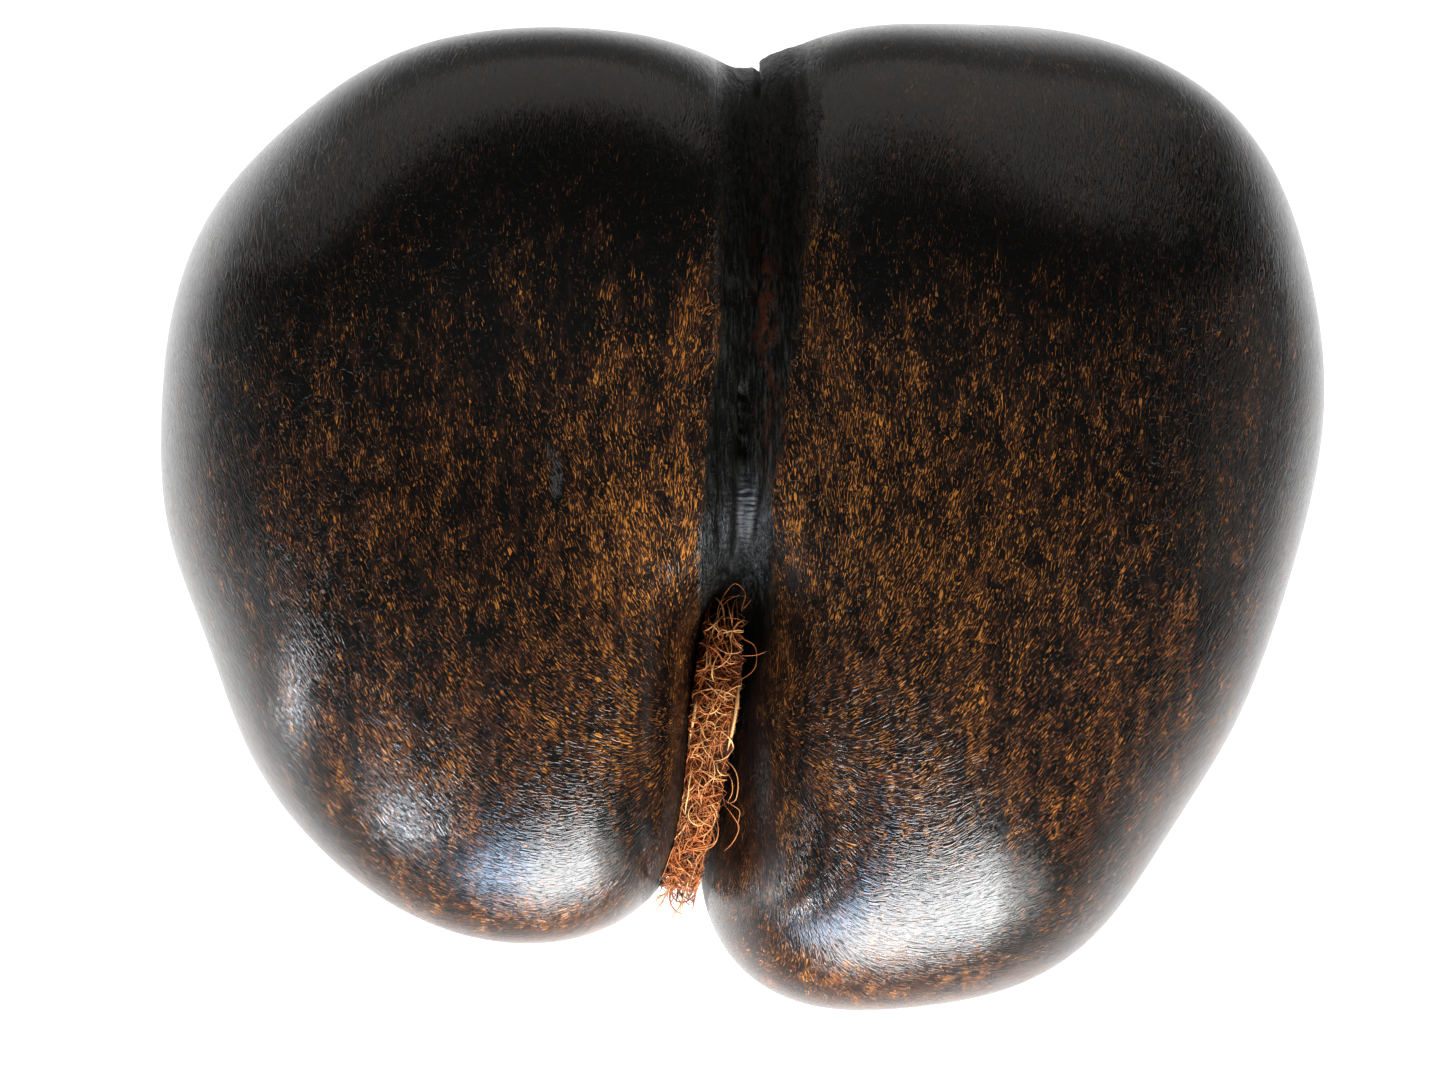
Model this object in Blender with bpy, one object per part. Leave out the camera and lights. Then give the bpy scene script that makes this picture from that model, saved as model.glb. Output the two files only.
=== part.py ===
"""Coco de mer nut: the polished two-lobed seed of the double coconut palm, lying on its back.

The nut is one hard-shelled solid. Two swollen lobes are joined across their upper halves and part below in a deep
sinus. A ribbed scar runs down the furrow of the front face, and below it a tuft of dry fibre fills the slit between
the lobes. X runs across the lobes, +Y towards the joined end, and +Z up, out of the front face.
"""

import math
import random

import bmesh
import bpy
import numpy as np
from mathutils import Vector

MM = 0.001

# Lobes, seen from the front. A reach is the distance from a lobe's centre to its outline, at even steps of angle that
# start at +X and run anticlockwise.
LEFT_CENTRE = (-72 * MM, 12 * MM)
LEFT_REACHES = np.array([84, 93, 114, 118.5, 107.5, 98, 90.5, 81.5, 77, 77, 82.3, 100, 116.8, 120.5, 87, 74]) * MM
RIGHT_CENTRE = (62 * MM, -12 * MM)
RIGHT_REACHES = np.array([79.5, 93.5, 115, 132.7, 139.8, 137.3, 104.5, 76, 63, 67, 92, 112, 110.7, 91.8, 78.2, 73.5]) * MM

# A rounded heel fills out the lower inner corner of the right lobe.
HEEL_CENTRE = (18 * MM, -92 * MM, 0)
HEEL_RADII = (28 * MM, 29 * MM, 53 * MM)
HEEL_SOFTNESS = 26 * MM

# Behind the scar's lower end a web joins the lobes, so that the sinus starts lower inside than it does in front.
WEB_CENTRE = (-3 * MM, 5 * MM, -12 * MM)
WEB_RADII = (16 * MM, 44 * MM, 56 * MM)
WEB_SOFTNESS = 10 * MM

# Depth of the lobes in front of and behind their middle plane. The powers fill out each side, towards the rim and
# towards the furrow: 2 is an ellipse, and more is boxier.
DEPTH = 82 * MM
RIM_POWER_FRONT = 2.35
RIM_POWER_BACK = 2.15
LEFT_FURROW_POWER = 5.6
RIGHT_FURROW_POWER = 3.2
POWER_SPREAD = 1.5

# Slow waves that swell the lobes unevenly, each with its direction, in waves per SWELL_LENGTH, and its phase. They fade
# out towards the back, from the middle plane to the level of the flat spots.
SWELL_HEIGHT = 0.6 * MM
SWELL_LENGTH = 95 * MM
SWELL_WAVES = (((1.0, 0.8, 0.0), 1.1), ((0.0, 1.3, -0.7), 0.4), ((-0.9, 0.0, 1.1), 0.0))
SWELL_FADE = 62 * MM

# The furrow between the lobes leans and bends as it runs down: x = START + LEAN * y + BEND * y * y.
FURROW_START = 0.5 * MM
FURROW_LEAN = 0.11
FURROW_BEND = -0.68

# The lobes melt into each other over this width where they are joined, and over less below the root of the sinus.
VALLEY_SOFTNESS = 18 * MM
SINUS_SOFTNESS = 4 * MM
SINUS_ROOT_Y = -26 * MM
SINUS_BLEND = 18 * MM

# The scar's cross-section, from left to right. Each corner has its place across the furrow, as a share of the scar's
# half width, and how high it stands out of the valley, first along the front and then at the joined end.
SCAR_SECTION = (
    (-1.45, 0.0, 0.0),
    (-1.1, 0.0, -0.2 * MM),
    (-0.95, -0.9 * MM, -0.6 * MM),
    (-0.75, 0.2 * MM, -0.9 * MM),
    (-0.5, 0.0, -1.1 * MM),
    (-0.32, -2.2 * MM, -1.2 * MM),
    (-0.08, -1.7 * MM, -0.8 * MM),
    (0.04, 0.1 * MM, 0.3 * MM),
    (0.24, 0.9 * MM, 1.0 * MM),
    (0.42, -0.3 * MM, 0.9 * MM),
    (0.6, -1.3 * MM, 0.5 * MM),
    (0.9, -1.1 * MM, 0.1 * MM),
    (1.15, 0.0, 0.0),
    (1.5, 0.0, 0.0),
)
JOINED_END_FROM_Y = 72 * MM
JOINED_END_Y = 106 * MM
SCAR_HALF_WIDTH = 10.5 * MM
SCAR_END_HALF_WIDTH = 6 * MM
SCAR_NARROWS_FROM_Y = 45 * MM
SCAR_END_Y = -14 * MM
SCAR_FADE = 12 * MM
SCAR_TURN = 48 * MM

# Mesh of the nut: cells along each side of a lobe's starting cube, how low on it the patch that meets the other lobe
# reaches, and the rounds of smoothing that even the cells out.
CELLS_PER_SIDE = 18
MEETING_LOW = -0.3
MEETING_FACING = 0.9
LOBE_RADII = Vector((80 * MM, 112 * MM, DEPTH))
SETTLING_ROUNDS = 24
SMOOTHING = 0.5
LONGEST_STEP = 3 * MM
SLOPE_STEP = 0.05 * MM
FIRST_STEPS = 8
STEPS_A_ROUND = 2
CLEARING_STEPS = 12

# The nut rests on two flat spots, this deep a slice off the back of each lobe.
REST_SLICE = 1.2 * MM

# The fibre tuft: a matted core wedged in the slit, with a front that arches like the lobes beside it.
TUFT_TOP_Y = -24 * MM
TUFT_END_Y = -98 * MM
TUFT_HALF_WIDTH = 6.2 * MM
TUFT_DEPTH = 30 * MM
TUFT_CREST_Y = -50 * MM
TUFT_CREST_Z = 56 * MM
TUFT_FALL = 7.8
TUFT_ASIDE = 1.5 * MM
TUFT_SQUARENESS = 3.0
TUFT_TAPER = 0.7
TUFT_TAPER_POWER = 9
TUFT_SIDES = 12
TUFT_SECTIONS = 14
TUFT_GAP = 0.5 * MM
FRONT_FACING = 0.5

# Strands that curl out of the core.
STRAND_COUNT = 56
STRAND_RADIUS = 0.55 * MM
STRAND_POINTS = 6
STRAND_LENGTH = (9 * MM, 19 * MM)
STRAND_RISE = (1.5 * MM, 4.2 * MM)
STRAND_SWAY = 3 * MM
STRAND_ROOT_DEPTH = 1.6 * MM
STRAND_TURN = 0.6
STRAND_TOP_Y = -17 * MM
LOOSE_SHARE = 0.4
LOOSE_ARCH = 0.6
STRAND_SEED = 11
MERGE = 0.001 * MM

SHELL_COLOUR = (0.045, 0.024, 0.014, 1)
SHELL_ROUGHNESS = 0.3
FIBRE_COLOUR = (0.42, 0.17, 0.06, 1)
FIBRE_ROUGHNESS = 0.9


def material(name, colour, roughness):
    """A plain finish for one of the pieces."""
    made = bpy.data.materials.new(name)
    made.use_nodes = True
    shader = made.node_tree.nodes["Principled BSDF"]
    shader.inputs["Base Color"].default_value = colour
    shader.inputs["Roughness"].default_value = roughness
    made.diffuse_color = colour
    return made


def link(name, mesh):
    """Puts a mesh in the scene as an object of that name."""
    made = bpy.data.objects.new(name, mesh)
    bpy.context.scene.collection.objects.link(made)
    return made


def eased(t):
    """A smooth step from 0 to 1."""
    t = np.clip(t, 0, 1)
    return t * t * (3 - 2 * t)


def furrow_x(y):
    """Where the furrow between the lobes runs, at each height y."""
    return FURROW_START + FURROW_LEAN * y + FURROW_BEND * y * y


def reach_at(angles, reaches):
    """The smooth closed curve through evenly spaced reaches, read at any angles."""
    waves = np.fft.rfft(reaches) / len(reaches)
    waves[1:-1] *= 2
    orders = np.arange(len(waves))
    return (waves * np.exp(1j * np.multiply.outer(angles, orders))).real.sum(axis=-1)


def melted(first, second, softness):
    """The union of two fields, rounded off over the softness where they meet."""
    overlap = np.maximum(softness - np.abs(first - second), 0) / softness
    return np.minimum(first, second) - overlap**3 * softness / 6


def lobe_field(points, centre, reaches, furrow_way, furrow_power):
    """How far outside one lobe each point is: negative inside, and about a distance near the surface."""
    across = points[:, 0] - centre[0]
    along = points[:, 1] - centre[1]
    angles = np.arctan2(along, across)
    share = np.hypot(across, along) / reach_at(angles, reaches)
    to_furrow = (0.5 + 0.5 * furrow_way * np.cos(angles)) ** POWER_SPREAD
    rim_power = np.where(points[:, 2] > 0, RIM_POWER_FRONT, RIM_POWER_BACK)
    power = rim_power + (furrow_power - rim_power) * to_furrow
    height = np.abs(points[:, 2]) / DEPTH
    return ((share**power + height**power) ** (1 / power) - 1) * DEPTH


def left_field(points):
    return lobe_field(points, LEFT_CENTRE, LEFT_REACHES, 1, LEFT_FURROW_POWER)


def ball_field(points, centre, radii):
    """The field of a stretched ball."""
    return (np.linalg.norm((points - centre) / radii, axis=1) - 1) * min(radii)


def right_field(points):
    lobe = lobe_field(points, RIGHT_CENTRE, RIGHT_REACHES, -1, RIGHT_FURROW_POWER)
    return melted(lobe, ball_field(points, HEEL_CENTRE, HEEL_RADII), HEEL_SOFTNESS)


def swell(points):
    """The slow, uneven swelling of the lobes, which fades out towards the back."""
    turns = points * math.tau / SWELL_LENGTH
    waves = sum(np.sin(turns @ np.array(way) + phase) for way, phase in SWELL_WAVES)
    return SWELL_HEIGHT * waves * eased(1 + points[:, 2] / SWELL_FADE)


def nut_field(points):
    """How far outside the nut each point is, without the scar: both lobes, melted together."""
    joined = eased((points[:, 1] - SINUS_ROOT_Y) / SINUS_BLEND + 0.5)
    softness = SINUS_SOFTNESS + (VALLEY_SOFTNESS - SINUS_SOFTNESS) * joined
    lobes = melted(left_field(points), right_field(points), softness)
    return melted(lobes, ball_field(points, WEB_CENTRE, WEB_RADII), WEB_SOFTNESS) - swell(points)


def slope_of(field, points):
    """The field's gradient at each point."""
    steps = SLOPE_STEP * np.eye(3)
    return np.stack([(field(points + step) - field(points - step)) / (2 * SLOPE_STEP) for step in steps], axis=1)


def moved_onto(points, field, level=0.0, steps=1, only_out=False):
    """The points, moved along the field's slope to where it has the level. They only move outwards if so asked."""
    for _ in range(steps):
        lack = field(points) - level
        if only_out:
            lack = np.minimum(lack, 0)
        slope = slope_of(field, points)
        move = slope * (lack / (slope**2).sum(axis=1))[:, None]
        length = np.linalg.norm(move, axis=1, keepdims=True)
        points = points - move * np.minimum(1, LONGEST_STEP / np.maximum(length, LONGEST_STEP))
    return points


def settle(bm, field, steps):
    """Moves every vertex of a mesh onto the surface where the field is zero."""
    points = moved_onto(np.array([v.co for v in bm.verts]), field, steps=steps)
    for vertex, point in zip(bm.verts, points):
        vertex.co = point


def lobe_blank(centre, field, furrow_way, border_column):
    """A cube of square cells blown up onto one lobe, with the patch that faces the other lobe left open.

    Its vertices carry the number of their column in the furrow, which is -1 away from the patch's border.
    """
    bm = bmesh.new()
    bmesh.ops.create_cube(bm, size=2)
    bmesh.ops.subdivide_edges(bm, edges=bm.edges[:], cuts=CELLS_PER_SIDE - 1, use_grid_fill=True)
    meeting = [f for f in bm.faces if f.normal.x * furrow_way > MEETING_FACING and f.calc_center_median().y > MEETING_LOW]
    bmesh.ops.delete(bm, geom=meeting, context="FACES")
    column = bm.verts.layers.float.new("column")
    for vertex in bm.verts:
        vertex[column] = border_column if vertex.is_boundary else -1
        way = Vector(math.tan(c * math.pi / 4) for c in vertex.co).normalized()
        vertex.co = Vector((*centre, 0)) + way * LOBE_RADII
    settle(bm, field, steps=FIRST_STEPS)
    return bm


def scar_half_width(y, z):
    """Half the width of the scar: it narrows down the front, and keeps one width behind."""
    down = eased((SCAR_NARROWS_FROM_Y - y) / (SCAR_NARROWS_FROM_Y - SCAR_END_Y))
    in_front = eased(z / SCAR_TURN + 0.5)
    return SCAR_HALF_WIDTH - (SCAR_HALF_WIDTH - SCAR_END_HALF_WIDTH) * down * in_front


def above_sinus(y):
    """How fully the scar is there at each height y: 0 below its end, and 1 a little above it."""
    return eased((y - SCAR_END_Y) / SCAR_FADE)


def joined_lobes():
    """Both lobes as one mesh, and the number of each vertex's column in the furrow, which is -1 elsewhere.

    The furrow has a column of cells for each step of the scar's section, counted from the left lobe to the right one.
    """
    last = len(SCAR_SECTION) - 1
    bm = lobe_blank(LEFT_CENTRE, left_field, 1, 0)
    right = lobe_blank(RIGHT_CENTRE, right_field, -1, last)
    mesh = bpy.data.meshes.new("lobe")
    right.to_mesh(mesh)
    bm.from_mesh(mesh)
    rungs = bmesh.ops.bridge_loops(bm, edges=[e for e in bm.edges if e.is_boundary])["edges"]
    bmesh.ops.subdivide_edges(bm, edges=rungs, cuts=last - 1)
    bmesh.ops.recalc_face_normals(bm, faces=bm.faces[:])
    column = bm.verts.layers.float["column"]
    return bm, [round(v[column]) for v in bm.verts]


def nut():
    """The nut: the lobes' mesh spread evenly over the field's surface, then the scar and the flat spots."""
    bm, columns = joined_lobes()
    strip = [(vertex, *SCAR_SECTION[column]) for vertex, column in zip(bm.verts, columns) if column >= 0]
    for _ in range(SETTLING_ROUNDS):
        bmesh.ops.smooth_vert(
            bm, verts=bm.verts[:], factor=SMOOTHING, use_axis_x=True, use_axis_y=True, use_axis_z=True
        )
        for vertex, place, _, _ in strip:
            wanted = furrow_x(vertex.co.y) + place * scar_half_width(vertex.co.y, vertex.co.z)
            vertex.co.x += (wanted - vertex.co.x) * above_sinus(vertex.co.y)
        settle(bm, nut_field, steps=STEPS_A_ROUND)
    settle(bm, nut_field, steps=STEPS_A_ROUND)
    bm.normal_update()
    for vertex, _, height, end_height in strip:
        at_end = eased((vertex.co.y - JOINED_END_FROM_Y) / (JOINED_END_Y - JOINED_END_FROM_Y))
        height += (end_height - height) * at_end
        vertex.co += vertex.normal * height * above_sinus(vertex.co.y) * eased(vertex.co.z / SCAR_FADE + 1)
    for vertex in bm.verts:
        vertex.co.z = max(vertex.co.z, REST_SLICE - DEPTH)
    mesh = bpy.data.meshes.new("nut")
    bm.to_mesh(mesh)
    mesh.shade_smooth()
    mesh.materials.append(material("polished_shell", SHELL_COLOUR, SHELL_ROUGHNESS))
    return link("nut", mesh)


def tuft_front(y):
    """The height of the core's front, at one height y."""
    return TUFT_CREST_Z - TUFT_FALL * (y - TUFT_CREST_Y) ** 2


def tuft_core():
    """The matted core: a squarish bar that follows the slit and keeps clear of its walls."""
    bm = bmesh.new()
    bmesh.ops.create_cone(bm, segments=TUFT_SIDES, radius1=1, radius2=1, depth=1, cap_ends=True)
    lengthwise = [e for e in bm.edges if abs(e.verts[0].co.z - e.verts[1].co.z) > 0.5]
    bmesh.ops.subdivide_edges(bm, edges=lengthwise, cuts=TUFT_SECTIONS - 1)
    points = []
    for vertex in bm.verts:
        y = TUFT_TOP_Y + (TUFT_END_Y - TUFT_TOP_Y) * (vertex.co.z + 0.5)
        size = 1 - TUFT_TAPER * abs(2 * vertex.co.z) ** TUFT_TAPER_POWER
        side, up = (size * math.copysign(abs(c) ** (2 / TUFT_SQUARENESS), c) for c in vertex.co.xy)
        z = tuft_front(y) + (up - 1) * TUFT_DEPTH / 2
        points.append((furrow_x(y) + TUFT_ASIDE + side * TUFT_HALF_WIDTH, y, z))
    clear = moved_onto(np.array(points), nut_field, TUFT_GAP, steps=CLEARING_STEPS, only_out=True)
    for vertex, point in zip(bm.verts, clear):
        vertex.co = point
    bm.normal_update()
    return bm


def front_faces(core):
    """The core's faces that show between the lobes, as corner points and the way each face looks."""
    shown = [f for f in core.faces if len(f.verts) == 4 and f.normal.z > FRONT_FACING]
    return [(np.array([v.co for v in f.verts]), np.array(f.normal)) for f in shown]


def strand_path(rng, faces):
    """One strand's points: it rises out of a face of the core, sways, and dives back or ends loose."""
    corners, facing = rng.choice(faces)
    weights = np.array([rng.random() for _ in corners])
    root = weights @ corners / weights.sum() - facing * STRAND_ROOT_DEPTH
    way = rng.choice((-1, 1)) * math.pi / 2 + rng.gauss(0, STRAND_TURN)
    ahead = np.array((math.cos(way), math.sin(way), 0))
    aside = np.array((-math.sin(way), math.cos(way), 0))
    length = rng.uniform(*STRAND_LENGTH)
    rise = rng.uniform(*STRAND_RISE)
    sway = rng.uniform(-STRAND_SWAY, STRAND_SWAY)
    arch = LOOSE_ARCH if rng.random() < LOOSE_SHARE else 1
    points = []
    for t in np.linspace(0, 1, STRAND_POINTS):
        point = root + ahead * length * t + aside * sway * math.sin(math.tau * t)
        point[1] = min(point[1], STRAND_TOP_Y)
        fall = tuft_front(max(point[1], TUFT_END_Y)) - tuft_front(root[1])
        point[2] += rise * math.sin(math.pi * t * arch) + fall
        points.append(point)
    gap = TUFT_GAP + STRAND_RADIUS
    return moved_onto(np.array(points), nut_field, gap, steps=CLEARING_STEPS, only_out=True)


def strand(points, number, group):
    """A closed tube along the points, as an object of its own in the group."""
    curve = bpy.data.curves.new(f"strand_{number}", "CURVE")
    curve.dimensions = "3D"
    curve.bevel_depth = STRAND_RADIUS
    curve.bevel_resolution = 0
    curve.use_fill_caps = True
    spline = curve.splines.new("POLY")
    spline.points.add(len(points) - 1)
    for control, point in zip(spline.points, points):
        control.co = (*point, 1)
    tube = link(curve.name, curve)
    mesh = bpy.data.meshes.new_from_object(tube.evaluated_get(bpy.context.evaluated_depsgraph_get()))
    bpy.data.objects.remove(tube)
    bm = bmesh.new()
    bm.from_mesh(mesh)
    bmesh.ops.remove_doubles(bm, verts=bm.verts[:], dist=MERGE)
    bmesh.ops.recalc_face_normals(bm, faces=bm.faces[:])
    bm.to_mesh(mesh)
    group.objects.link(bpy.data.objects.new(curve.name, mesh))


def fibre_tuft():
    """The core and its strands, fused into one solid."""
    core = tuft_core()
    faces = front_faces(core)
    mesh = bpy.data.meshes.new("fibre_tuft")
    core.to_mesh(mesh)
    made = link("fibre_tuft", mesh)
    group = bpy.data.collections.new("strands")
    rng = random.Random(STRAND_SEED)
    for number in range(STRAND_COUNT):
        strand(strand_path(rng, faces), number, group)
    fuse = made.modifiers.new("fuse", "BOOLEAN")
    fuse.operation = "UNION"
    fuse.operand_type = "COLLECTION"
    fuse.solver = "MANIFOLD"
    fuse.collection = group
    mesh = bpy.data.meshes.new_from_object(made.evaluated_get(bpy.context.evaluated_depsgraph_get()))
    made.modifiers.remove(fuse)
    made.data = mesh
    for piece in list(group.objects):
        bpy.data.objects.remove(piece)
    bpy.data.collections.remove(group)
    mesh.materials.clear()
    mesh.materials.append(material("dry_fibre", FIBRE_COLOUR, FIBRE_ROUGHNESS))
    return made


def stand(pieces):
    """Moves the pieces so that the middle of the bottom of their common box is at the origin."""
    corners = np.array([piece.matrix_world @ v.co for piece in pieces for v in piece.data.vertices])
    low, high = corners.min(axis=0), corners.max(axis=0)
    for piece in pieces:
        piece.location -= Vector(((low[0] + high[0]) / 2, (low[1] + high[1]) / 2, low[2]))


for old in list(bpy.data.objects):
    bpy.data.objects.remove(old)
stand([nut(), fibre_tuft()])
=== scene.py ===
"""A polished coco de mer nut with a tuft of dry fibre, on a pale floor, seen from straight above.

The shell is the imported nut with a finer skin. The furrow's scar gets its ribs, crack, slot and hollow, and
the polish gets flecks that run out from the root of the sinus. The tuft is a matted bar under hundreds of
fibres.
"""

import logging
import math
import random
from dataclasses import dataclass, field
from enum import Enum

import bmesh
import bpy
import numpy as np
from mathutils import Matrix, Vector, noise
from mathutils.bvhtree import BVHTree


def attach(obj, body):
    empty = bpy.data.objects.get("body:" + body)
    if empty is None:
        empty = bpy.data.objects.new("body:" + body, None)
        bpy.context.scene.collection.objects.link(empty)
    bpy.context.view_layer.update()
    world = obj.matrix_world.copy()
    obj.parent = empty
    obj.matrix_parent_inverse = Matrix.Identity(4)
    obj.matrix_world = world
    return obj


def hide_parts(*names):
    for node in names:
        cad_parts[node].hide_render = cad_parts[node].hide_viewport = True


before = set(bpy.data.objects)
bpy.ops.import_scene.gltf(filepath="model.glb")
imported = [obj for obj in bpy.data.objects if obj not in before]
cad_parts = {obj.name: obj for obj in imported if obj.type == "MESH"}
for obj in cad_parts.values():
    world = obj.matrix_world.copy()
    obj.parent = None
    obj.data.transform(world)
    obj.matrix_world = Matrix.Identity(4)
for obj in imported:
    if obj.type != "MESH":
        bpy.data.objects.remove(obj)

LOG = logging.getLogger("nut")
MM = 0.001
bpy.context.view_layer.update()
MERGE = 0.001 * MM
RING = 4
CAMERA_AT = (-4.6 * MM, -7.4 * MM, 980.8 * MM)
SEEN_PLANE_Z = 80.8 * MM
MIDDLE = (0.5, 0.5, 0.5)
DOWNWARD = -math.pi / 2

Pair = tuple[float, float]
Triple = tuple[float, float, float]
Row = tuple[float, ...]
Colour = Triple
Socket = bpy.types.NodeSocket
Feed = Socket | float | Triple
Receivers = bpy.types.Collection


def linear(code: str) -> Colour:
    """A screen colour such as "c87828" as linear red, green and blue."""
    parts = [int(code[i : i + 2], 16) / 255 for i in (0, 2, 4)]
    return tuple(c / 12.92 if c <= 0.04045 else ((c + 0.055) / 1.055) ** 2.4 for c in parts)


def eased(share: np.ndarray) -> np.ndarray:
    """A smooth step from 0 to 1."""
    share = np.clip(share, 0, 1)
    return share * share * (3 - 2 * share)


def add_object(name: str, data: bpy.types.ID) -> bpy.types.Object:
    """Puts a mesh, curve, lamp or camera in the scene as an object of that name."""
    made = bpy.data.objects.new(name, data)
    bpy.context.scene.collection.objects.link(made)
    return made


def evaluated_mesh(obj: bpy.types.Object) -> bpy.types.Mesh:
    """The object's mesh with its modifiers, or its curve's tubes, applied."""
    return bpy.data.meshes.new_from_object(obj.evaluated_get(bpy.context.evaluated_depsgraph_get()))


def bmesh_of(*meshes: bpy.types.Mesh) -> bmesh.types.BMesh:
    """All the meshes as one bmesh."""
    bm = bmesh.new()
    for mesh in meshes:
        bm.from_mesh(mesh)
    return bm


def mesh_of(bm: bmesh.types.BMesh, name: str) -> bpy.types.Mesh:
    """The bmesh as a new mesh, which takes its place."""
    mesh = bpy.data.meshes.new(name)
    bm.to_mesh(mesh)
    bm.free()
    return mesh


def vectors_of(mesh: bpy.types.Mesh, key: str) -> np.ndarray:
    """The places ("co") or the normals ("normal") of the mesh's vertices, one a row."""
    flat = np.empty(len(mesh.vertices) * 3)
    mesh.vertices.foreach_get(key, flat)
    return flat.reshape(-1, 3)


def paint(mesh: bpy.types.Mesh, name: str, values: np.ndarray) -> None:
    """Writes one number or one row of three a vertex as an attribute for the materials."""
    kind, key = ("FLOAT", "value") if values.ndim == 1 else ("FLOAT_VECTOR", "vector")
    layer = mesh.attributes.new(name, kind, "POINT")
    layer.data.foreach_set(key, values.astype(np.float32).ravel())


class Graph:
    """A material's node tree, with short calls that add nodes and join them."""

    def __init__(self, name: str) -> None:
        """Starts a material with only its shader."""
        self.material = bpy.data.materials.new(name)
        self.material.use_nodes = True
        self.tree = self.material.node_tree
        self.shader = self.tree.nodes["Principled BSDF"]

    def node(self, kind: str, **settings: object) -> bpy.types.Node:
        """Adds a node of that kind and sets its options."""
        made = self.tree.nodes.new(kind)
        for key, value in settings.items():
            setattr(made, key, value)
        return made

    def feed(self, socket: Socket, value: Feed) -> None:
        """Joins a socket to another node's output, or sets its own value."""
        if isinstance(value, bpy.types.NodeSocket):
            self.tree.links.new(value, socket)
        elif isinstance(value, tuple) and socket.type == "RGBA":
            socket.default_value = (*value, 1)
        else:
            socket.default_value = value

    def maths(self, operation: str, *values: Feed) -> Socket:
        """A Math node's result."""
        made = self.node("ShaderNodeMath", operation=operation)
        for socket, value in zip(made.inputs, values):
            self.feed(socket, value)
        return made.outputs[0]

    def vector(self, operation: str, *values: Feed) -> Socket:
        """A Vector Math node's result, which is one number for a dot product."""
        made = self.node("ShaderNodeVectorMath", operation=operation)
        for socket, value in zip(made.inputs, values):
            self.feed(socket, value)
        return made.outputs["Value" if operation == "DOT_PRODUCT" else "Vector"]

    def scaled(self, value: Feed, factor: float, plus: Feed) -> Socket:
        """A value times a factor, plus another value."""
        return self.maths("MULTIPLY_ADD", value, factor, plus)

    def centred(self, value: Socket) -> Socket:
        """A colour whose parts run from 0 to 1, moved to lie around 0."""
        return self.vector("SUBTRACT", value, MIDDLE)

    def parts(self, value: Socket) -> tuple[Socket, Socket, Socket]:
        """The three numbers of a vector or colour."""
        made = self.node("ShaderNodeSeparateXYZ")
        self.feed(made.inputs[0], value)
        return tuple(made.outputs)

    def spread(self, value: Feed, low: Feed, high: Feed, to_low: Feed = 0.0, to_high: Feed = 1.0) -> Socket:
        """A smooth step of a value from one range to another, held at both ends."""
        made = self.node("ShaderNodeMapRange", interpolation_type="SMOOTHSTEP")
        for socket, number in zip(made.inputs, (value, low, high, to_low, to_high)):
            self.feed(socket, number)
        return made.outputs["Result"]

    def mix(self, share: Feed, first: Feed, second: Feed) -> Socket:
        """A blend of two colours."""
        made = self.node("ShaderNodeMix", data_type="RGBA")
        self.feed(made.inputs["Factor"], share)
        self.feed(made.inputs[6], first)
        self.feed(made.inputs[7], second)
        return made.outputs[2]

    def place(self) -> Socket:
        """Object coordinates."""
        return self.node("ShaderNodeTexCoord").outputs["Object"]

    def attribute(self, name: str, output: str = "Fac") -> Socket:
        """A value that the mesh carries for each vertex."""
        return self.node("ShaderNodeAttribute", attribute_name=name).outputs[output]

    def bump(self, height: Socket, depth: float) -> Socket:
        """A bumped normal."""
        made = self.node("ShaderNodeBump")
        made.inputs["Strength"].default_value = 1.0
        made.inputs["Distance"].default_value = depth
        self.feed(made.inputs["Height"], height)
        return made.outputs["Normal"]


def as_seen(points: np.ndarray) -> np.ndarray:
    """Where the camera sees each point, on a level plane through the nut's widest part."""
    eye = np.array(CAMERA_AT)
    nearer = (eye[2] - SEEN_PLANE_Z) / (eye[2] - points[:, 2])
    seen = points.copy()
    seen[:, :2] = eye[:2] + (points[:, :2] - eye[:2]) * nearer[:, None]
    return seen


@dataclass(frozen=True)
class Grain:
    """A noise texture: its grain size, detail and roughness, and how far each axis counts."""

    size: float
    detail: float
    roughness: float = 0.5
    stretch: Triple | None = None

    def on(self, graph: Graph, place: Socket, output: str = "Fac") -> Socket:
        """The texture's value, or its colour, at a place."""
        if self.stretch is not None:
            place = graph.vector("MULTIPLY", place, self.stretch)
        made = graph.node("ShaderNodeTexNoise")
        graph.feed(made.inputs["Vector"], place)
        made.inputs["Scale"].default_value = 1 / self.size
        made.inputs["Detail"].default_value = self.detail
        made.inputs["Roughness"].default_value = self.roughness
        return made.outputs[output]


@dataclass(frozen=True)
class Waves:
    """Smooth noise from about -1 to 1 whose waves have a length of their own along each axis.

    The lengths are in millimetres, and the seed moves the pattern, so that two of them differ.
    """

    x: float
    y: float
    z: float
    seed: float

    def at(self, points: np.ndarray) -> np.ndarray:
        """The noise at each point."""
        scaled = points / (np.array((self.x, self.y, self.z)) * MM) + self.seed
        return np.array([noise.noise(p) for p in scaled])


@dataclass(frozen=True)
class Patch:
    """A soft-edged stretched spot, seen from the front.

    The place and the radii are in millimetres, and the weight is the spot's share at its middle.
    """

    x: float
    y: float
    radius_x: float
    radius_y: float
    weight: float

    def at(self, points: np.ndarray) -> np.ndarray:
        """The spot's share at each point."""
        across = (points[:, 0] / MM - self.x) / self.radius_x
        along = (points[:, 1] / MM - self.y) / self.radius_y
        return self.weight * np.exp(-(across**2) - along**2)


def total(patches: tuple[Patch, ...], points: np.ndarray) -> np.ndarray:
    """What all the patches add at each point."""
    return sum(patch.at(points) for patch in patches)


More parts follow.
